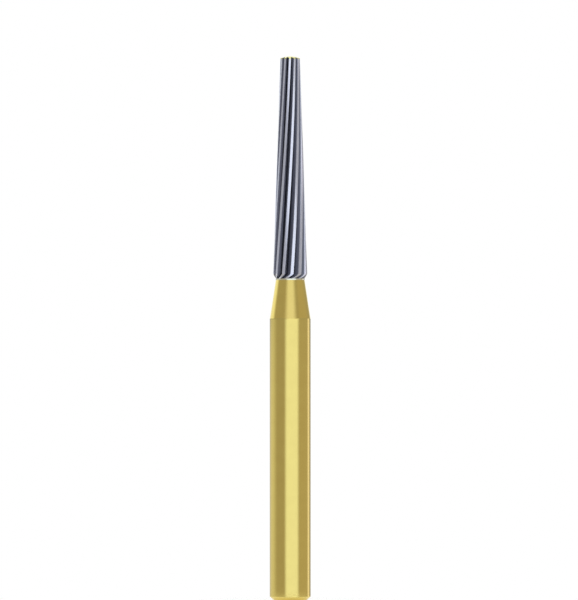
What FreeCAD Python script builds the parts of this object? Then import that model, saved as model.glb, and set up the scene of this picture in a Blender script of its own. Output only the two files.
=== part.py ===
"""A friction-grip dental bur: a tapered finishing bur with a fluted tungsten carbide head.

The bur stands on its rotation axis. The origin is the centre of the shank's end face, +Z runs up the
axis to the cutting tip, and all lengths are in millimetres. It has two pieces, brazed face to face:

cutting_head  the tapered carbide head, with twelve right-hand spiral flutes ground into its blank
shank         the turned steel shank, with the tapered neck that carries the head
"""

import FreeCAD, Part
import math
import os

from FreeCAD import Vector

# Shank and neck
SHANK_DIAMETER = 1.600
SHANK_LENGTH = 11.056
END_CHAMFER_HEIGHT = 0.23
END_CHAMFER_WIDTH = 0.25
NECK_LENGTH = 1.594
NECK_TOP_DIAMETER = 1.130
SHOULDER_BLEND_RADIUS = 1.0

# Blank of the cutting head, from its seat on the neck up to the tip
COLLAR_HEIGHT = 0.055
HEEL_HEIGHT = 0.205
HEEL_DIAMETER = 1.334
TAPER_LENGTH = 8.430
TIP_DIAMETER = 0.768
CROWN_HEIGHT = 0.080

# Flutes ground into the blank
FLUTE_COUNT = 12
FLUTE_LEAD = 57.0
HEEL_LAND_ANGLE = math.radians(9.8)
TIP_LAND_ANGLE = math.radians(11.2)
HEEL_FLUTE_DEPTH = 0.205
TIP_FLUTE_DEPTH = 0.130
RUNOUT_FLUTE_DEPTH = 0.045
FLUTE_ROOT_WIDTH = 0.020
HEEL_SWIRL = math.radians(17.0)
FIRST_EDGE_ANGLE = math.radians(-108.8)

# How far the flute cutter reaches out of the blank, and the number of its sections
CUTTER_OVERLAP = 0.060
TAPER_SECTIONS = 8
HEEL_SECTIONS = 4

# Radii and heights that follow from the sizes above
SHANK_RADIUS = SHANK_DIAMETER / 2
NECK_TOP_RADIUS = NECK_TOP_DIAMETER / 2
HEEL_RADIUS = HEEL_DIAMETER / 2
TIP_RADIUS = TIP_DIAMETER / 2
NECK_TOP_Z = SHANK_LENGTH + NECK_LENGTH
COLLAR_TOP_Z = NECK_TOP_Z + COLLAR_HEIGHT
HEEL_TOP_Z = COLLAR_TOP_Z + HEEL_HEIGHT
RIM_Z = HEEL_TOP_Z + TAPER_LENGTH
TIP_Z = RIM_Z + CROWN_HEIGHT

FLUTE_PITCH = 2 * math.pi / FLUTE_COUNT


def between(low, high, share):
    """The value that lies a share of the way from low to high."""
    return low + (high - low) * share


def revolve(edges):
    """Turn a closed half profile, drawn in the XZ plane, once round the Z axis."""
    face = Part.Face(Part.Wire(edges))
    return face.revolve(Vector(0, 0, 0), Vector(0, 0, 1), 360)


def line(start, end):
    return Part.LineSegment(Vector(start[0], 0, start[1]), Vector(end[0], 0, end[1])).toShape()


def arc(start, middle, end):
    points = [Vector(r, 0, z) for r, z in (start, middle, end)]
    return Part.Arc(*points).toShape()


def parabola(start, pole, end):
    curve = Part.BezierCurve()
    curve.setPoles([Vector(r, 0, z) for r, z in (start, pole, end)])
    return curve.toShape()


def shank():
    """The turned shank and neck, with a chamfered end and a soft shoulder under the neck.

    The shoulder is an arc that touches the upright side of the shank and the sloping side of the neck.
    """
    slope = math.atan2(SHANK_RADIUS - NECK_TOP_RADIUS, NECK_LENGTH)
    blend_z = SHANK_LENGTH - SHOULDER_BLEND_RADIUS * math.tan(slope / 2)

    def shoulder_point(angle):
        r = SHANK_RADIUS - SHOULDER_BLEND_RADIUS * (1 - math.cos(angle))
        return r, blend_z + SHOULDER_BLEND_RADIUS * math.sin(angle)

    end_centre = (0, 0)
    end_rim = (SHANK_RADIUS - END_CHAMFER_WIDTH, 0)
    chamfer_top = (SHANK_RADIUS, END_CHAMFER_HEIGHT)
    neck_rim = (NECK_TOP_RADIUS, NECK_TOP_Z)
    neck_centre = (0, NECK_TOP_Z)
    return revolve([
        line(end_centre, end_rim),
        line(end_rim, chamfer_top),
        line(chamfer_top, shoulder_point(0)),
        arc(shoulder_point(0), shoulder_point(slope / 2), shoulder_point(slope)),
        line(shoulder_point(slope), neck_rim),
        line(neck_rim, neck_centre),
        line(neck_centre, end_centre),
    ])


def head_blank():
    """The head before grinding: collar, rounded heel, straight taper and crowned end.

    The heel's round is a parabola, upright where it meets the taper.
    """
    crown_radius = (TIP_RADIUS ** 2 + CROWN_HEIGHT ** 2) / (2 * CROWN_HEIGHT)
    half_turn = math.asin(TIP_RADIUS / crown_radius) / 2
    crown_middle = (
        crown_radius * math.sin(half_turn),
        TIP_Z - crown_radius * (1 - math.cos(half_turn)),
    )
    seat_centre = (0, NECK_TOP_Z)
    seat_rim = (NECK_TOP_RADIUS, NECK_TOP_Z)
    collar_rim = (NECK_TOP_RADIUS, COLLAR_TOP_Z)
    heel_pole = (HEEL_RADIUS, COLLAR_TOP_Z + HEEL_HEIGHT / 2)
    heel_rim = (HEEL_RADIUS, HEEL_TOP_Z)
    tip_rim = (TIP_RADIUS, RIM_Z)
    tip = (0, TIP_Z)
    return revolve([
        line(seat_centre, seat_rim),
        line(seat_rim, collar_rim),
        parabola(collar_rim, heel_pole, heel_rim),
        line(heel_rim, tip_rim),
        arc(tip_rim, crown_middle, tip),
        line(tip, seat_centre),
    ])


def flute_section(z, outer_radius, depth, edge_angle, land_angle):
    """Outline of one flute at a height: an upright rake face, a narrow flat root and a sloping back.

    The cutting edge is at edge_angle, and the flute opens from there to the back of the next land.
    Both sides run on past the blank's surface, so that the cutter leaves it cleanly.
    """
    back_angle = edge_angle + FLUTE_PITCH - land_angle
    rake_out = direction(edge_angle)
    across = direction(edge_angle + math.pi / 2)
    back_top = direction(back_angle) * outer_radius
    rake_foot = rake_out * (outer_radius - depth)
    back_foot = rake_foot + across * FLUTE_ROOT_WIDTH
    back_out = (back_top - back_foot).normalize()
    rake_end = rake_out * (outer_radius + CUTTER_OVERLAP)
    back_end = back_top + back_out * CUTTER_OVERLAP
    lift = Vector(0, 0, z)
    corners = [corner + lift for corner in (rake_end, rake_foot, back_foot, back_end)]
    return Part.makePolygon(corners + corners[:1])


def direction(angle):
    return Vector(math.cos(angle), math.sin(angle), 0)


def taper_section(z):
    share = (z - HEEL_TOP_Z) / TAPER_LENGTH
    outer_radius = between(HEEL_RADIUS, TIP_RADIUS, share)
    depth = between(HEEL_FLUTE_DEPTH, TIP_FLUTE_DEPTH, share)
    land_angle = between(HEEL_LAND_ANGLE, TIP_LAND_ANGLE, share)
    return flute_section(z, outer_radius, depth, spiral_angle(z), land_angle)


def heel_section(z):
    """A section on the heel, where the flutes swirl faster and run out towards the collar."""
    share = (HEEL_TOP_Z - z) / HEEL_HEIGHT
    outer_radius = between(HEEL_RADIUS, NECK_TOP_RADIUS, share ** 2)
    depth = between(HEEL_FLUTE_DEPTH, RUNOUT_FLUTE_DEPTH, share)
    angle = spiral_angle(z) - HEEL_SWIRL * share ** 2
    return flute_section(z, outer_radius, depth, angle, HEEL_LAND_ANGLE)


def spiral_angle(z):
    """Angle of the first cutting edge, which turns once in each lead as the height rises."""
    return FIRST_EDGE_ANGLE + 2 * math.pi * (z - HEEL_TOP_Z) / FLUTE_LEAD


def flute_cutter():
    """The solid that grinds out one flute, from the collar up through the crown."""
    top_z = TIP_Z + CUTTER_OVERLAP
    heel = [
        heel_section(between(COLLAR_TOP_Z, HEEL_TOP_Z, i / HEEL_SECTIONS))
        for i in range(HEEL_SECTIONS)
    ]
    taper = [
        taper_section(between(HEEL_TOP_Z, top_z, i / TAPER_SECTIONS))
        for i in range(TAPER_SECTIONS + 1)
    ]
    return Part.makeLoft(heel + taper, True, False)


def cutting_head():
    """The carbide head: its blank, less the flutes."""
    first = flute_cutter()
    cutters = []
    for number in range(FLUTE_COUNT):
        cutter = first.copy()
        cutter.rotate(Vector(0, 0, 0), Vector(0, 0, 1), math.degrees(FLUTE_PITCH) * number)
        cutters.append(cutter)
    return head_blank().cut(cutters)


def export(name, shape):
    shape.exportStep(os.path.join("parts", name + ".step"))


os.makedirs("parts", exist_ok=True)
export("shank", shank())
export("cutting_head", cutting_head())
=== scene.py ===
"""Looks of a friction-grip dental bur: fluted carbide head, gold-plated shank and a pale studio.

The file is laid out as an add-on. Run as a script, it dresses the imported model: it builds a fine
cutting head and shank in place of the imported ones, gives them their finishes and sets up the studio.
"""

from collections import namedtuple
import math

import bmesh
import bpy
from mathutils import Matrix, Vector


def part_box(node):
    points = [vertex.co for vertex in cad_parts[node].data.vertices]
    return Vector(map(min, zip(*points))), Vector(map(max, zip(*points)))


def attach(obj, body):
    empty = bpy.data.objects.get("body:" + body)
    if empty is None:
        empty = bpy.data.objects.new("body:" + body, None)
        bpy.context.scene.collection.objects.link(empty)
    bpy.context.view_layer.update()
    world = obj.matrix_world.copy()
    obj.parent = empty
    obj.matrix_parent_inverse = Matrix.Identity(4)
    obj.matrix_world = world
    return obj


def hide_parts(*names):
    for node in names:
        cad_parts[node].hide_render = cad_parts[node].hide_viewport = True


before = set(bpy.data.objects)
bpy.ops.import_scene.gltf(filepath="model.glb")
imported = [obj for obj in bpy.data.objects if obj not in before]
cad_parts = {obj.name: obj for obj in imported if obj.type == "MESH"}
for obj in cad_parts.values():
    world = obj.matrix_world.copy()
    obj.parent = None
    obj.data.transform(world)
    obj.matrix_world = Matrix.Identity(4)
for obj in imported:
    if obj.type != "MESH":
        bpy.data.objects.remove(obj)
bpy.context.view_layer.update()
HEAD_LOW, HEAD_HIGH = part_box("cutting_head")
SHANK_LOW, SHANK_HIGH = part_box("shank")

bl_info = {
    "name": "Dental Bur",
    "version": (1, 0, 0),
    "blender": (4, 5, 0),
    "location": "3D View > Sidebar > Dental Bur",
    "description": "Builds a tapered finishing bur with its finishes and a small studio",
    "category": "Add Mesh",
}

MM = 0.001
BODY = "root"

# Radius in millimetres of the neck's top, where the head is brazed on
NECK_TOP_RADIUS = 0.565

# Columns and rows of one blade's grid
COLUMNS = {"rake": 4, "root": 1, "back": 8, "land": 7}
ROWS = {"seat": 1, "collar": 2, "ledge": 1, "heel": 20, "taper": 150, "crown": 24}

# How the heel's outline turns in, from 1 for a plain chamfer up to 2 for a full round, and how late the
# blades start to sweep back over it, from 1 for an even sweep
HEEL_ROUNDNESS = 1.2
SWIRL_RISE = 1.5

# Points of one blade that meet those of the next are welded, and sharper turns than this show as edges
WELD_DISTANCE = 1e-7
CREASE_ANGLE = math.radians(14.0)

# Keeps the share of a flute's depth finite where that depth is set to zero
LEAST_DEPTH = 1e-7

# Steps that the round shapes are drawn in. The shell has them round the bur and from pole to pole.
LATHE_STEPS = 256
ROUND_STEPS = 8
FLOOR_STEPS = 96
SHELL_STEPS = (64, 32)

# Share of a flute's depth over which the land's finish fades out, down its back and down its rake face,
# and the share at which the painted shade of the root begins
LAND_FADE_START = 0.01
BACK_FADE = 0.25
RAKE_FADE = 0.12
ROOT_START = 0.60

# Grain of the finishes, in marks to the metre
TURNED_RINGS = 26000.0
RING_DRIFT = 40.0
GOLD_CLOUDS = 2600.0
GRINDING_STREAKS = 90000.0
STREAK_DRIFT = 1600.0
CARBIDE_CLOUDS = 7000.0

# The noise that draws the grain
NOISE_MIDDLE = 0.5
NOISE_DETAIL = 3.0
CLOUD_NOISE_ROUGHNESS = 0.5
MARK_NOISE_ROUGHNESS = 0.6

# How much the grain changes the roughness
RING_ROUGHNESS = 0.10
GOLD_CLOUD_ROUGHNESS = 0.06
STREAK_ROUGHNESS = 0.16
CARBIDE_CLOUD_ROUGHNESS = 0.08

# How the grain changes the colour: the values of the noise where one colour gives way to the other
GOLD_CLOUD_RANGE = (0.3, 0.7)
LAND_STREAK_RANGE = (0.35, 0.65)
FLUTE_STREAK_RANGE = (0.2, 0.9)
FLUTE_STREAK_STRENGTH = 0.4

# Relief of the grain, with the distance in metres
RING_RELIEF = {"Strength": 0.05, "Distance": 2e-6}
STREAK_RELIEF = {"Strength": 0.12, "Distance": 3e-6}

# A face that turns up more steeply than this belongs to the crown, and so does this height of a land
# below its upper rim
CROWN_FACING = 0.7
GOLD_RIM = 0.03 * MM

Storey = namedtuple("Storey", "surround panels start", defaults=(None,))
SoftPanel = namedtuple("SoftPanel", "light azimuth width edge")

# The soft panels round the bur, in storeys from the floor up. The angles are degrees, and an azimuth is
# counted from the camera towards its right. A storey takes over from the one below between the two
# heights of its start, and a panel fades out over its edge. The sides of the chamfer and the lower part
# of the heel mirror the first storey, the shank the second, the slightly tapered head the third and the
# neck the fourth.
STOREYS = (
    Storey(surround="low_surround", panels=(
        SoftPanel("reflector", azimuth=-128.0, width=64.0, edge=44.0),
    )),
    Storey(start=(-70.0, -50.0), surround="warm_surround", panels=(
        SoftPanel("reflector", azimuth=-128.0, width=64.0, edge=44.0),
        SoftPanel("rim_strip", azimuth=126.0, width=20.0, edge=8.0),
        SoftPanel("fill", azimuth=85.0, width=60.0, edge=20.0),
        SoftPanel("softbox", azimuth=9.5, width=73.0, edge=21.0),
    )),
    Storey(start=(2.0, 4.0), surround="cool_surround", panels=(
        SoftPanel("rim_strip", azimuth=126.0, width=20.0, edge=8.0),
        SoftPanel("white_softbox", azimuth=15.0, width=70.0, edge=15.0),
    )),
    Storey(start=(8.0, 14.0), surround="warm_surround", panels=(
        SoftPanel("flash", azimuth=-157.0, width=98.0, edge=26.0),
        SoftPanel("fill", azimuth=85.0, width=60.0, edge=20.0),
        SoftPanel("haze", azimuth=2.5, width=55.0, edge=32.0),
    )),
)

# Heights in degrees between which the light from overhead takes over, and that from below ends
CEILING_START = (35.0, 60.0)
UNDERSIDE_END = (-75.0, -50.0)

HALF_TURN = 180.0

# Keeps the slope of the storeys finite straight behind the bur
LEAST_FACING = 0.05

# The camera's view starts at its distance divided by the first, and ends at its distance times the second
NEAR_DIVISOR = 100
FAR_FACTOR = 10


def length(name, description, millimetres):
    """A size that a user can change, kept in metres and given here in millimetres."""
    return bpy.props.FloatProperty(
        name=name,
        description=description,
        default=millimetres * MM,
        min=0.0,
        unit="LENGTH",
        precision=6,
    )


def angle(name, description, degrees):
    return bpy.props.FloatProperty(
        name=name,
        description=description,
        default=math.radians(degrees),
        subtype="ANGLE",
    )


def colour(name, description, value):
    return bpy.props.FloatVectorProperty(
        name=name,
        description=description,
        default=value,
        size=3,
        min=0.0,
        soft_max=1.0,
        subtype="COLOR",
    )


def share(name, description, value):
    return bpy.props.FloatProperty(
        name=name,
        description=description,
        default=value,
        min=0.0,
        max=1.0,
        subtype="FACTOR",
    )


class Wire:
    """The output of a node. Sums, products and other expressions on it add the nodes that work them out."""

    def __init__(self, graph, socket):
        self.graph = graph
        self.socket = socket

    def maths(self, operation, *others):
        return self.graph.maths(operation, self, *others)

    def __add__(self, other):
        return self.graph.maths("ADD", self, other)

    def __radd__(self, other):
        return self.graph.maths("ADD", other, self)

    def __sub__(self, other):
        return self.graph.maths("SUBTRACT", self, other)

    def __rsub__(self, other):
        return self.graph.maths("SUBTRACT", other, self)

    def __mul__(self, other):
        return self.graph.maths("MULTIPLY", self, other)

    def __rmul__(self, other):
        return self.graph.maths("MULTIPLY", other, self)

    def __truediv__(self, other):
        return self.graph.maths("DIVIDE", self, other)

    def __rtruediv__(self, other):
        return self.graph.maths("DIVIDE", other, self)

    def __pow__(self, other):
        return self.graph.maths("POWER", self, other)

    def __neg__(self):
        return self.graph.maths("MULTIPLY", self, -1.0)

    def __abs__(self):
        return self.maths("ABSOLUTE")

    def sin(self):
        return self.maths("SINE")

    def cos(self):
        return self.maths("COSINE")

    def sqrt(self):
        return self.maths("SQRT")

    def least(self, other):
        return self.maths("MINIMUM", other)

    def most(self, other):
        return self.maths("MAXIMUM", other)

    def above(self, limit):
        return self.maths("GREATER_THAN", limit)

    def below(self, limit):
        return self.maths("LESS_THAN", limit)

    def between(self, start, end):
        """0 up to start, 1 from end on, and a straight rise from one to the other."""
        made = self.graph.node(
            "ShaderNodeMapRange", {"clamp": True}, {"Value": self, "From Min": start, "From Max": end}
        )
        return self.graph.wire(made, "Result")

    def smooth(self, start, end):
        """As between, with a rise that starts and ends softly."""
        made = self.graph.node(
            "ShaderNodeMapRange",
            {"clamp": True, "interpolation_type": "SMOOTHSTEP"},
            {"Value": self, "From Min": start, "From Max": end},
        )
        return self.graph.wire(made, "Result")


class Graph:
    """Adds nodes to a tree, each with its settings first and then its inputs."""

    def __init__(self, tree):
        self.tree = tree

    def node(self, kind, settings=None, inputs=None):
        made = self.tree.nodes.new(kind)
        for name, value in (settings or {}).items():
            setattr(made, name, value)
        for key, value in (inputs or {}).items():
            self.feed(in_use(made.inputs, key), value)
        return made

    def feed(self, socket, value):
        if isinstance(value, Wire):
            self.tree.links.new(value.socket, socket)
        else:
            socket.default_value = value

    def wire(self, node, output=0):
        return Wire(self, in_use(node.outputs, output))

    def maths(self, operation, *values):
        made = self.node("ShaderNodeMath", {"operation": operation}, dict(enumerate(values)))
        return self.wire(made)

    def split(self, vector):
        made = self.node("ShaderNodeSeparateXYZ", None, {0: vector})
        return [self.wire(made, axis) for axis in ("X", "Y", "Z")]

    def join(self, x, y, z):
        return self.wire(self.node("ShaderNodeCombineXYZ", None, {"X": x, "Y": y, "Z": z}))

    def blend(self, factor, low, high):
        """One colour where the factor is 0, and another where it is 1."""
        colours = {"Factor": factor, "A": opaque(low), "B": opaque(high)}
        return self.wire(self.node("ShaderNodeMix", {"data_type": "RGBA"}, colours), "Result")


def part_way(low, high, fraction):
    """The value that lies a fraction of the way from low to high."""
    return low + (high - low) * fraction


def in_use(sockets, key):
    """A socket by its number, or by its name among those that the node's settings leave in use."""
    if isinstance(key, int):
        return sockets[key]
    return next(socket for socket in sockets if socket.name == key and socket.enabled)


def opaque(value):
    """A colour given as numbers gets the alpha that a colour socket wants."""
    if isinstance(value, Wire):
        return value
    return (*value, 1.0)


def new_object(name, data):
    made = bpy.data.objects.new(name, data)
    bpy.context.scene.collection.objects.link(made)
    return made


def sized_tree(name, sizes):
    """A Geometry Nodes tree with one named input for each size, and wires from those inputs."""
    tree = bpy.data.node_groups.new(name, "GeometryNodeTree")
    for label, value in sizes.items():
        kind = "NodeSocketInt" if isinstance(value, int) else "NodeSocketFloat"
        tree.interface.new_socket(label, in_out="INPUT", socket_type=kind)
    tree.interface.new_socket("Material", in_out="INPUT", socket_type="NodeSocketMaterial")
    tree.interface.new_socket("Mesh", in_out="OUTPUT", socket_type="NodeSocketGeometry")
    graph = Graph(tree)
    source = graph.node("NodeGroupInput")
    wires = {label: graph.wire(source, label) for label in (*sizes, "Material")}
    return graph, wires


def finish_tree(graph, mesh, material):
    """Weld and shade a mesh, and end its tree in Realize Instances and Set Material."""
    real = graph.node("GeometryNodeRealizeInstances", None, {"Geometry": mesh})
    joined = graph.node(
        "GeometryNodeMergeByDistance", None, {"Geometry": graph.wire(real), "Distance": WELD_DISTANCE}
    )
    smooth = graph.node("GeometryNodeSetShadeSmooth", {"domain": "FACE"}, {"Geometry": graph.wire(joined)})
    turn = graph.wire(graph.node("GeometryNodeInputMeshEdgeAngle"), "Unsigned Angle")
    creased = graph.node(
        "GeometryNodeSetShadeSmooth",
        {"domain": "EDGE"},
        {"Geometry": graph.wire(smooth), "Selection": turn.above(CREASE_ANGLE), "Shade Smooth": False},
    )
    dressed = graph.node(
        "GeometryNodeSetMaterial", None, {"Geometry": graph.wire(creased), "Material": material}
    )
    graph.node("NodeGroupOutput", None, {"Mesh": graph.wire(dressed)})


def mesh_piece(name, tree, sizes, material):
    """Run a tree with its sizes and keep the result as a plain mesh, with the modifier gone."""
    piece = new_object(name, bpy.data.meshes.new(name))
    modifier = piece.modifiers.new(name, "NODES")
    modifier.node_group = tree
    values = {**sizes, "Material": material}
    for item in tree.interface.items_tree:
        if item.in_out == "INPUT":
            modifier[item.identifier] = values[item.name]
    shown = piece.evaluated_get(bpy.context.evaluated_depsgraph_get())
    mesh = bpy.data.meshes.new_from_object(shown)
    piece.modifiers.clear()
    piece.data = mesh
    return piece


def stretches(along, steps):
    """For each stretch of a grid, a wire that rises from 0 to 1 over it. The steps are its rows."""
    total = sum(steps)
    start = 0
    rises = []
    for count in steps:
        rises.append(along.between(start / total, (start + count) / total))
        start += count
    return rises


def fluted_head_tree(sizes):
    """One blade and its flute as a grid, turned round the axis once for each flute.

    The grid is a unit square round the origin. Its columns lead down the rake face, over the root, up
    the back and across the land, and its rows from the seat's centre up the blank's outline to the
    centre of the tip.
    """
    graph, size = sized_tree("Fluted head", sizes)
    points = {"Vertices X": sum(COLUMNS.values()) + 1, "Vertices Y": sum(ROWS.values()) + 1}
    grid = graph.node("GeometryNodeMeshGrid", None, {"Size X": 1.0, "Size Y": 1.0, **points})
    across, along, _ = graph.split(graph.wire(graph.node("GeometryNodeInputPosition")))
    rake, root, back, land = stretches(across + 0.5, COLUMNS.values())
    seat, collar, ledge, heel, taper, crown = stretches(along + 0.5, ROWS.values())

    pitch = 2 * math.pi / size["Flutes"]
    heel_top = size["Seat height"] + size["Collar height"] + size["Heel height"]
    taper_length = size["Tip height"] - size["Crown height"] - heel_top
    narrowing = size["Heel radius"] - size["Tip radius"]

    # Height and radius of the blank
    crown_radius = (size["Tip radius"] ** 2 + size["Crown height"] ** 2) / (2 * size["Crown height"])
    rim_arch = arch(crown_radius, size["Tip radius"])
    crown_rise = arch(crown_radius, size["Tip radius"] * (1 - crown)) - rim_arch
    height = (
        size["Seat height"]
        + size["Collar height"] * collar
        + size["Heel height"] * heel
        + taper_length * taper
        + crown_rise
    )
    widening = (size["Heel radius"] - size["Collar radius"]) * (1 - (1 - heel) ** HEEL_ROUNDNESS)
    blank = size["Collar radius"] * seat + widening - narrowing * taper - size["Tip radius"] * crown

    # Section of the flute with its cutting edge on the X axis, which follows the taper on past the rim
    up_taper = taper + crown_rise / taper_length
    cutter = size["Collar radius"] + widening - narrowing * up_taper
    depth = (
        size["Run-out depth"]
        + (size["Heel flute depth"] - size["Run-out depth"]) * heel
        + (size["Tip flute depth"] - size["Heel flute depth"]) * up_taper
    )
    land_angle = part_way(size["Heel land angle"], size["Tip land angle"], up_taper)
    opening = pitch - land_angle
    foot = cutter - depth
    top_x = cutter * opening.cos()
    top_y = cutter * opening.sin()
    on_land = opening + land_angle * land
    x = cutter - depth * rake + (top_x - foot) * back + cutter * on_land.cos() - top_x
    y = size["Root width"] * root + (top_y - size["Root width"]) * back + cutter * on_land.sin() - top_y

    # The blank is ground away down to the section, which then turns with the spiral
    reach = (x * x + y * y).sqrt()
    ground = part_way(blank, reach.least(blank), ledge)
    spiral = size["First edge"] + 2 * math.pi * (height - heel_top) / size["Spiral lead"]
    turn = y.maths("ARCTAN2", x) + spiral - size["Heel swirl"] * (1 - heel) ** SWIRL_RISE
    sunk = (blank - ground) / depth.most(LEAST_DEPTH)
    marked = marked_mesh(graph, graph.wire(grid, "Mesh"), {"flute_depth": sunk, "rake_face": 1 - root})
    place = graph.join(ground * turn.cos(), ground * turn.sin(), height)
    blade = graph.node("GeometryNodeSetPosition", None, {"Geometry": marked, "Position": place})
    blades = round_the_axis(graph, graph.wire(blade), size["Flutes"], pitch)
    finish_tree(graph, blades, size["Material"])
    return graph.tree


def arch(radius, half_width):
    """Height of a circle over its middle, at a distance from its centre line."""
    return (radius * radius - half_width * half_width).sqrt()


def marked_mesh(graph, mesh, marks):
    """Keep named values on a mesh's points, for its material to read."""
    for name, value in marks.items():
        mesh = graph.wire(graph.node(
            "GeometryNodeStoreNamedAttribute",
            {"data_type": "FLOAT", "domain": "POINT"},
            {"Geometry": mesh, "Name": name, "Value": value},
        ))
    return mesh


def round_the_axis(graph, mesh, count, pitch):
    """Copies of a mesh, each turned round the Z axis by one pitch more than the last."""
    places = graph.node("GeometryNodePoints", None, {"Count": count, "Position": (0.0, 0.0, 0.0)})
    number = graph.wire(graph.node("GeometryNodeInputIndex"))
    rotation = graph.join(0.0, 0.0, number * pitch)
    copies = graph.node(
        "GeometryNodeInstanceOnPoints",
        None,
        {"Points": graph.wire(places), "Instance": mesh, "Rotation": rotation},
    )
    return graph.wire(copies)


def circle(radius, height, steps):
    """Points round the Z axis."""
    spins = [2 * math.pi * step / steps for step in range(steps)]
    return [(radius * math.cos(spin), radius * math.sin(spin), height) for spin in spins]


def lathe(name, corners):
    """Turn a half profile of (radius, height) points round the Z axis into a closed, smooth mesh."""
    vertices = []
    rings = []
    for radius, height in corners:
        if radius == 0:
            rings.append([len(vertices)] * LATHE_STEPS)
            vertices.append((0.0, 0.0, height))
            continue
        rings.append(list(range(len(vertices), len(vertices) + LATHE_STEPS)))
        vertices.extend(circle(radius, height, LATHE_STEPS))
    faces = []
    for low, high in zip(rings, rings[1:]):
        for step in range(LATHE_STEPS):
            after = (step + 1) % LATHE_STEPS
            corner = [low[step], low[after], high[after], high[step]]
            faces.append(list(dict.fromkeys(corner)))
    mesh = bpy.data.meshes.new(name)
    mesh.from_pydata(vertices, [], faces)
    mesh.shade_smooth()
    mesh.set_sharp_from_angle(angle=CREASE_ANGLE)
    return new_object(name, mesh)


def rounded(corners):
    """A profile of (radius, height, round) corners, with each round drawn as a short arc of points."""
    points = [Vector(corner[:2]) for corner in corners]
    profile = [points[0]]
    for number in range(1, len(corners) - 1):
        here = points[number]
        back = (points[number - 1] - here).normalized()
        on = (points[number + 1] - here).normalized()
        bend = corners[number][2]
        half = back.angle(on) / 2
        if bend == 0:
            profile.append(here)
            continue
        centre = here + (back + on).normalized() * bend / math.sin(half)
        first = here + back * bend / math.tan(half) - centre
        last = here + on * bend / math.tan(half) - centre
        sweep = first.angle_signed(last)
        for step in range(ROUND_STEPS + 1):
            spoke = first.copy()
            spoke.rotate(Matrix.Rotation(-sweep * step / ROUND_STEPS, 2))
            profile.append(centre + spoke)
    profile.append(points[-1])
    return [tuple(point) for point in profile]


def emptied_graph(owner):
    """The node tree of a material or world, without the nodes that it starts with."""
    owner.use_nodes = True
    owner.node_tree.nodes.clear()
    return Graph(owner.node_tree)


def new_material(name):
    """A material with one Principled shader, and the graph to finish it with."""
    material = bpy.data.materials.new(name)
    graph = emptied_graph(material)
    shader = graph.node("ShaderNodeBsdfPrincipled")
    graph.node("ShaderNodeOutputMaterial", None, {"Surface": graph.wire(shader)})
    return material, graph, shader


def object_place(graph):
    return graph.wire(graph.node("ShaderNodeTexCoord"), "Object")


def noise(graph, vector, scale, roughness):
    made = graph.node(
        "ShaderNodeTexNoise",
        {"noise_dimensions": "3D"},
        {"Vector": vector, "Scale": scale, "Detail": NOISE_DETAIL, "Roughness": roughness},
    )
    return graph.wire(made, "Fac")


def clouds(graph, place, scale):
    return noise(graph, place, scale, CLOUD_NOISE_ROUGHNESS)


def turned_marks(graph, place):
    """Faint rings left by turning, as noise that changes along the axis and hardly round it."""
    x, y, z = graph.split(place)
    stretched = graph.join(x * RING_DRIFT, y * RING_DRIFT, z * TURNED_RINGS)
    return noise(graph, stretched, 1.0, MARK_NOISE_ROUGHNESS)


def uneven(grain, amount):
    """A change of up to half the amount either way."""
    return (grain - NOISE_MIDDLE) * amount


def gold_material(finish):
    """Thin gold plating over smooth turned steel."""
    material, graph, shader = new_material("Gold plating")
    place = object_place(graph)
    rings = turned_marks(graph, place)
    cloud = clouds(graph, place, GOLD_CLOUDS)
    tone = graph.blend(cloud.between(*GOLD_CLOUD_RANGE), finish.gold_deep, finish.gold_bright)
    graph.feed(shader.inputs["Base Color"], tone)
    unevenness = uneven(rings, RING_ROUGHNESS) + uneven(cloud, GOLD_CLOUD_ROUGHNESS)
    graph.feed(shader.inputs["Roughness"], finish.gold_roughness + unevenness)
    bump = graph.node("ShaderNodeBump", None, {"Height": rings, **RING_RELIEF})
    graph.feed(shader.inputs["Normal"], graph.wire(bump))
    shader.inputs["Metallic"].default_value = 1.0
    return material


def grinding_marks(graph, place, lead):
    """Streaks that run along the spiral blades."""
    x, y, z = graph.split(place)
    spin = z * (-2 * math.pi / lead)
    along_blade = graph.join(
        (x * spin.cos() - y * spin.sin()) * GRINDING_STREAKS,
        (x * spin.sin() + y * spin.cos()) * GRINDING_STREAKS,
        z * STREAK_DRIFT,
    )
    return noise(graph, along_blade, 1.0, MARK_NOISE_ROUGHNESS)


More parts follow.
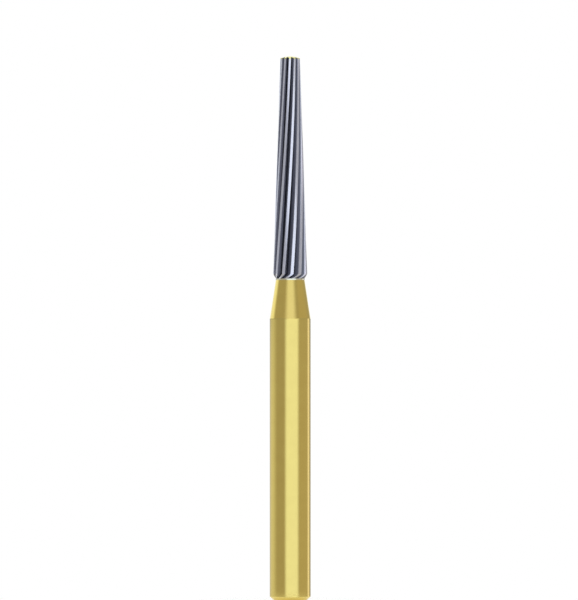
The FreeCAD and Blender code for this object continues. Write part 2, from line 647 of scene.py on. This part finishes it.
def carbide_material(finish, head):
    """Ground carbide: bright lands, dull dark flutes with painted shade at their roots and painted light on
    their rake faces, and gold where the blank was left unground.
    """
    material, graph, shader = new_material("Ground carbide")
    place = object_place(graph)
    z = graph.split(place)[2]
    streaks = grinding_marks(graph, place, head.spiral_lead)
    cloud = clouds(graph, place, CARBIDE_CLOUDS)
    depth = graph.wire(graph.node("ShaderNodeAttribute", {"attribute_name": "flute_depth"}), "Fac")
    rake = graph.wire(graph.node("ShaderNodeAttribute", {"attribute_name": "rake_face"}), "Fac")
    in_flute = depth.smooth(LAND_FADE_START, part_way(BACK_FADE, RAKE_FADE, rake))
    root_shade = depth.smooth(ROOT_START, 1.0)

    land = graph.blend(streaks.between(*LAND_STREAK_RANGE), finish.land_dim, finish.land_bright)
    # The rake face has a lighter colour than the back, partly for its finer grinding and partly as painted
    # light on a face that lies in shade.
    wall = graph.blend(rake, finish.flute_back, finish.rake_finish_and_painted_light)
    # Painted shade: towards a flute's root the wall colour darkens to near black.
    wall = graph.blend(root_shade, wall, finish.root_shade_and_streaks)
    # The grinding streaks darken the walls towards the same near-black colour that paints the root's shade.
    marks = streaks.between(*FLUTE_STREAK_RANGE) * FLUTE_STREAK_STRENGTH
    wall = graph.blend(marks, wall, finish.root_shade_and_streaks)
    ground = graph.blend(in_flute, land, wall)

    normal = graph.wire(graph.node("ShaderNodeNewGeometry"), "Normal")
    facing_up = graph.split(normal)[2]
    rim_height = HEAD_HIGH.z - head.crown_height
    on_rim = z.above(rim_height - GOLD_RIM) * (1.0 - in_flute)
    on_crown = (facing_up.above(CROWN_FACING) * z.above(rim_height)).most(on_rim)
    on_collar = z.below(HEAD_LOW.z + head.collar_height)
    plain = graph.blend(on_collar, finish.crown, finish.collar)
    gold = on_crown.most(on_collar)
    graph.feed(shader.inputs["Base Color"], graph.blend(gold, ground, plain))
    metallic = part_way(finish.land_metallic, finish.flute_metallic, in_flute)
    graph.feed(shader.inputs["Metallic"], part_way(metallic, 1.0, gold))

    roughness = part_way(finish.land_roughness, finish.flute_roughness, in_flute)
    roughness = roughness + uneven(streaks, STREAK_ROUGHNESS) + uneven(cloud, CARBIDE_CLOUD_ROUGHNESS)
    graph.feed(shader.inputs["Roughness"], part_way(roughness, finish.gold_roughness, gold))
    bump = graph.node("ShaderNodeBump", None, {"Height": streaks, **STREAK_RELIEF})
    graph.feed(shader.inputs["Normal"], graph.wire(bump))
    return material


class BurHeadSizes(bpy.types.PropertyGroup):
    """Sizes of the cutting head. The flute depths are measured inwards from the lands."""

    flute_count: bpy.props.IntProperty(name="Flutes", description="Number of flutes", default=12, min=2)
    spiral_lead: length("Spiral lead", "Height in which a blade turns once round the axis", 57.0)
    heel_land_angle: angle("Heel land angle", "Width of a land at the heel, round the axis", 9.8)
    tip_land_angle: angle("Tip land angle", "Width of a land at the tip, round the axis", 11.2)
    first_edge: angle("First edge", "Where the first cutting edge crosses the rim of the heel", -108.8)
    seat_height: length("Seat height", "Height of the face that is brazed to the neck", HEAD_LOW.z / MM)
    collar_radius: length("Collar radius", "Radius of the plain collar on the neck", NECK_TOP_RADIUS)
    collar_height: length("Collar height", "Height of the plain collar", 0.055)
    heel_radius: length("Heel radius", "Radius of the head at its widest", 0.667)
    heel_height: length("Heel height", "Height of the rounded heel", 0.190)
    tip_radius: length("Tip radius", "Radius of the head at its flat end", 0.384)
    crown_height: length("Crown height", "Rise of the end face from rim to centre", 0.080)
    tip_height: length("Tip height", "Height of the tip above the shank's end", HEAD_HIGH.z / MM)
    heel_flute_depth: length("Heel flute depth", "Depth of a flute at the rim of the heel", 0.205)
    tip_flute_depth: length("Tip flute depth", "Depth of a flute at the flat end", 0.130)
    run_out_depth: length("Run-out depth", "Depth of a flute where it ends at the collar", 0.045)
    root_width: length("Root width", "Width of the flat at a flute's root", 0.020)
    heel_swirl: angle("Heel swirl", "How far the blades sweep back over the heel", 23.0)


class BurShankSizes(bpy.types.PropertyGroup):
    """Sizes of the turned shank and its neck."""

    radius: length("Shank radius", "Radius of the gripped cylinder", SHANK_HIGH.x / MM)
    end_chamfer_height: length("End chamfer height", "Height of the chamfer at the lower end", 0.23)
    end_chamfer_width: length("End chamfer width", "Width of the chamfer at the lower end", 0.25)
    shoulder_height: length("Shoulder height", "Where the cylinder gives way to the neck", 11.13)
    shoulder_blend: length("Shoulder blend", "Radius of the soft shoulder under the neck", 0.3)
    neck_top_radius: length("Neck top radius", "Radius of the neck at its top", NECK_TOP_RADIUS)
    edge_round: length("Edge round", "Small round on the turned edges", 0.035)


class BurFinish(bpy.types.PropertyGroup):
    """Colours and shine of the plating and of the ground carbide."""

    gold_bright: colour("Gold", "Colour of the plating", (0.82, 0.67, 0.20))
    gold_deep: colour("Deep gold", "Colour of the plating in its deeper patches", (0.79, 0.64, 0.19))
    gold_roughness: share("Gold roughness", "Roughness of the plating", 0.14)
    crown: colour("Crown", "Colour of the plating left on the flat end", (0.82, 0.76, 0.25))
    collar: colour("Collar", "Colour of the pale ring where the head is brazed on", (0.78, 0.79, 0.60))
    land_bright: colour("Bright land", "Colour of the polished lands", (0.78, 0.80, 0.90))
    land_dim: colour("Dim land", "Colour of the lands between their grinding marks", (0.68, 0.70, 0.80))
    land_roughness: share("Land roughness", "Roughness of the lands", 0.22)
    land_metallic: share("Land metallic", "How metallic the lands are", 0.8)
    flute_back: colour("Flute back", "Colour of a flute's sloping back", (0.16, 0.17, 0.22))
    # The rake face's colour is partly its finer grinding and partly painted light on a face that lies in
    # shade.
    rake_finish_and_painted_light: colour("Flute rake", "Colour of a flute's upright rake face", (0.32, 0.33, 0.40))
    # The root colour is painted shade in the recess of a flute; the walls' grinding streaks darken towards
    # it too.
    root_shade_and_streaks: colour("Flute root", "Colour of a flute at its root", (0.012, 0.014, 0.02))
    flute_roughness: share("Flute roughness", "Roughness inside the flutes", 0.36)
    flute_metallic: share("Flute metallic", "How metallic the inside of a flute is", 0.3)


class BurStudio(bpy.types.PropertyGroup):
    """The camera, the floor and the soft panels round the bur."""

    lens: bpy.props.FloatProperty(
        name="Lens", description="Focal length of the camera", default=400.0, unit="CAMERA"
    )
    view_height: length("View height", "Height of the picture's frame", 23.53)
    aim_height: length("Aim height", "Height of the picture's centre above the shank's end", 11.864)
    aim_side: length("Aim side", "How far the axis stands right of the picture's centre", 0.0475)
    floor_core: length("Floor core", "Radius within which the floor is solid, before it fades out", 1.0)
    floor_radius: length("Floor radius", "Radius at which the pale floor has faded out", 5.0)
    floor_glow: share("Floor glow", "Light that the camera sees from the floor itself", 0.3)
    floor_colour: colour("Floor colour", "Colour of the floor", (0.85, 0.85, 0.85))
    backdrop: colour("Backdrop", "Colour of the background", (1.0, 1.0, 1.0))
    warm_surround: colour("Warm surround", "Light of the room between the panels", (0.46, 0.42, 0.36))
    low_surround: colour("Low surround", "Light of the room below the panels", (0.34, 0.33, 0.28))
    cool_surround: colour("Cool surround", "Light between the head's panels", (0.36, 0.38, 0.43))
    softbox: colour("Softbox", "Light of the large front panel", (1.05, 1.12, 1.30))
    white_softbox: colour("White softbox", "Light of the head's front panel", (1.10, 1.14, 1.14))
    haze: colour("Haze", "Light above the large front panel", (0.95, 0.95, 1.06))
    ceiling: colour("Ceiling", "Light from overhead", (1.06, 1.08, 1.10))
    reflector: colour("Reflector", "Light of the panel at the left, behind the bur", (0.76, 0.75, 0.72))
    flash: colour("Flash", "Light of the panel behind the bur that the neck mirrors", (1.08, 1.10, 1.05))
    rim_strip: colour("Rim strip", "Light of the strip at the right, behind the bur", (1.10, 1.02, 1.10))
    fill: colour("Fill", "Light of the faint panel at the right", (0.53, 0.47, 0.39))
    panel_distance: length("Panel distance", "Distance from the bur to the panels", 1000.0)


class BUR_OT_cutting_head(bpy.types.Operator):
    """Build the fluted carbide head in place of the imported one"""

    bl_idname = "bur.cutting_head"
    bl_label = "Cutting Head"

    def execute(self, context):
        head = context.scene.bur_head
        labels = {key: head.bl_rna.properties[key].name for key in BurHeadSizes.__annotations__}
        sizes = {label: getattr(head, key) for key, label in labels.items()}
        tree = fluted_head_tree(sizes)
        material = carbide_material(context.scene.bur_finish, head)
        piece = mesh_piece("fluted_head", tree, sizes, material)
        if not piece.data.polygons:
            raise RuntimeError("the cutting head came out empty")
        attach(piece, BODY)
        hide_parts("cutting_head")
        return {"FINISHED"}


class BUR_OT_shank(bpy.types.Operator):
    """Build the gold-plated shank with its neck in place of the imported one"""

    bl_idname = "bur.shank"
    bl_label = "Shank"

    def execute(self, context):
        sizes = context.scene.bur_shank
        top = SHANK_HIGH.z
        bottom = SHANK_LOW.z
        profile = rounded([
            (0.0, bottom, 0.0),
            (sizes.radius - sizes.end_chamfer_width, bottom, sizes.edge_round),
            (sizes.radius, bottom + sizes.end_chamfer_height, sizes.edge_round),
            (sizes.radius, sizes.shoulder_height, sizes.shoulder_blend),
            (sizes.neck_top_radius, top, 0.0),
            (0.0, top, 0.0),
        ])
        piece = lathe("plated_shank", profile)
        piece.data.materials.append(gold_material(context.scene.bur_finish))
        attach(piece, BODY)
        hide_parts("shank")
        return {"FINISHED"}


class BUR_OT_studio(bpy.types.Operator):
    """Set up the white room, the soft panels, the floor and the camera"""

    bl_idname = "bur.studio"
    bl_label = "Studio"

    def execute(self, context):
        studio = context.scene.bur_studio
        context.scene.view_settings.view_transform = "Standard"
        make_world(context.scene, studio)
        make_panels(studio)
        make_floor(studio)
        make_camera(context.scene, studio)
        return {"FINISHED"}


def panel_mask(graph, azimuth, panel):
    """1 inside a panel's stretch of the horizon and 0 outside it."""
    turned = (azimuth - panel.azimuth + HALF_TURN).maths("FLOORED_MODULO", 2 * HALF_TURN)
    off = abs(turned - HALF_TURN)
    return 1.0 - off.smooth((panel.width - panel.edge) / 2, (panel.width + panel.edge) / 2)


def storey_light(graph, studio, azimuth, storey):
    """The light of a storey's panels and of the room between them."""
    light = getattr(studio, storey.surround)
    for panel in storey.panels:
        light = graph.blend(panel_mask(graph, azimuth, panel), light, getattr(studio, panel.light))
    return light


def make_world(scene, studio):
    """A plain white world."""
    world = bpy.data.worlds.new("White room")
    scene.world = world
    graph = emptied_graph(world)
    white = {"Color": opaque(studio.backdrop), "Strength": 1.0}
    background = graph.node("ShaderNodeBackground", None, white)
    graph.node("ShaderNodeOutputWorld", None, {"Surface": graph.wire(background)})


def make_panels(studio):
    """A wide shell round the bur that carries the studio's soft panels, which the camera doesn't see."""
    material = bpy.data.materials.new("Soft panels")
    graph = emptied_graph(material)
    outwards = graph.node("ShaderNodeVectorMath", {"operation": "NORMALIZE"}, {0: object_place(graph)})
    x, y, z = graph.split(graph.wire(outwards))
    azimuth = x.maths("ARCTAN2", -y) * math.degrees(1.0)
    elevation = z.maths("ARCSINE") * math.degrees(1.0)

    # A leaning wall mirrors light to the camera from lower down the further round it faces, so the
    # storeys slope down to both sides. The cosine is 1 in front of the bur and 0 behind it.
    facing = (azimuth * math.radians(0.5)).cos()
    level = elevation / facing.most(LEAST_FACING)
    light = storey_light(graph, studio, azimuth, STOREYS[0])
    for storey in STOREYS[1:]:
        upper = storey_light(graph, studio, azimuth, storey)
        light = graph.blend(level.smooth(*storey.start), light, upper)
    light = graph.blend(elevation.smooth(*CEILING_START), light, studio.ceiling)
    light = graph.blend(elevation.smooth(*UNDERSIDE_END), studio.warm_surround, light)
    glow = graph.node("ShaderNodeEmission", None, {"Color": light, "Strength": 1.0})
    graph.node("ShaderNodeOutputMaterial", None, {"Surface": graph.wire(glow)})

    ball = bmesh.new()
    around, upright = SHELL_STEPS
    bmesh.ops.create_uvsphere(
        ball, u_segments=around, v_segments=upright, radius=studio.panel_distance
    )
    mesh = bpy.data.meshes.new("soft_panels")
    ball.to_mesh(mesh)
    ball.free()
    mesh.materials.append(material)
    shell = new_object("soft_panels", mesh)
    shell.visible_camera = False


def make_floor(studio):
    """A round pale floor that fades out into the white room. The bur mirrors it and shades it."""
    material = bpy.data.materials.new("Pale floor")
    graph = emptied_graph(material)
    paper = graph.node("ShaderNodeBsdfDiffuse", None, {"Color": opaque(studio.floor_colour)})
    ray = graph.node("ShaderNodeLightPath")
    mirrored = graph.wire(ray, "Is Glossy Ray").most(graph.wire(ray, "Is Transmission Ray"))
    seen = graph.wire(ray, "Is Camera Ray").most(mirrored)
    light = {"Color": opaque(studio.backdrop), "Strength": seen * studio.floor_glow}
    glow = graph.node("ShaderNodeEmission", None, light)
    both = graph.node("ShaderNodeAddShader", None, {0: graph.wire(paper), 1: graph.wire(glow)})
    clear = graph.node("ShaderNodeBsdfTransparent")
    x, y, _ = graph.split(object_place(graph))
    faded = (x * x + y * y).sqrt().smooth(studio.floor_core, studio.floor_radius)
    layers = {0: faded, 1: graph.wire(both), 2: graph.wire(clear)}
    soft_edged = graph.node("ShaderNodeMixShader", None, layers)
    graph.node("ShaderNodeOutputMaterial", None, {"Surface": graph.wire(soft_edged)})

    rim = circle(studio.floor_radius, SHANK_LOW.z, FLOOR_STEPS)
    mesh = bpy.data.meshes.new("floor")
    mesh.from_pydata(rim, [], [list(range(FLOOR_STEPS))])
    mesh.materials.append(material)
    new_object("floor", mesh)


def make_camera(scene, studio):
    """A long lens, level with the middle of the bur, so that the bur hardly narrows with distance."""
    data = bpy.data.cameras.new("camera")
    data.lens = studio.lens
    camera = new_object("camera", data)
    distance = studio.view_height * studio.lens / data.sensor_width
    camera.location = (-studio.aim_side, -distance, studio.aim_height)
    camera.rotation_euler = (math.pi / 2, 0.0, 0.0)
    data.clip_start = distance / NEAR_DIVISOR
    data.clip_end = distance * FAR_FACTOR
    scene.camera = camera


class BUR_PT_panel(bpy.types.Panel):
    """The bur's builders and their sizes"""

    bl_label = "Dental Bur"
    bl_space_type = "VIEW_3D"
    bl_region_type = "UI"
    bl_category = "Dental Bur"

    def draw(self, context):
        for operator, groups in PANEL_ROWS:
            box = self.layout.box()
            box.operator(operator.bl_idname)
            for group in groups:
                settings = getattr(context.scene, group)
                for key in type(settings).__annotations__:
                    box.prop(settings, key)


GROUPS = {
    "bur_head": BurHeadSizes,
    "bur_shank": BurShankSizes,
    "bur_finish": BurFinish,
    "bur_studio": BurStudio,
}
OPERATORS = (BUR_OT_cutting_head, BUR_OT_shank, BUR_OT_studio)
PANEL_ROWS = (
    (BUR_OT_cutting_head, ("bur_head", "bur_finish")),
    (BUR_OT_shank, ("bur_shank",)),
    (BUR_OT_studio, ("bur_studio",)),
)


def register():
    for group in GROUPS.values():
        bpy.utils.register_class(group)
    for name, group in GROUPS.items():
        setattr(bpy.types.Scene, name, bpy.props.PointerProperty(type=group))
    for operator in OPERATORS:
        bpy.utils.register_class(operator)
    bpy.utils.register_class(BUR_PT_panel)


def unregister():
    bpy.utils.unregister_class(BUR_PT_panel)
    for operator in reversed(OPERATORS):
        bpy.utils.unregister_class(operator)
    for name in GROUPS:
        delattr(bpy.types.Scene, name)
    for group in reversed(GROUPS.values()):
        bpy.utils.unregister_class(group)


def main():
    register()
    bpy.ops.bur.cutting_head()
    bpy.ops.bur.shank()
    bpy.ops.bur.studio()


if __name__ == "__main__":
    main()
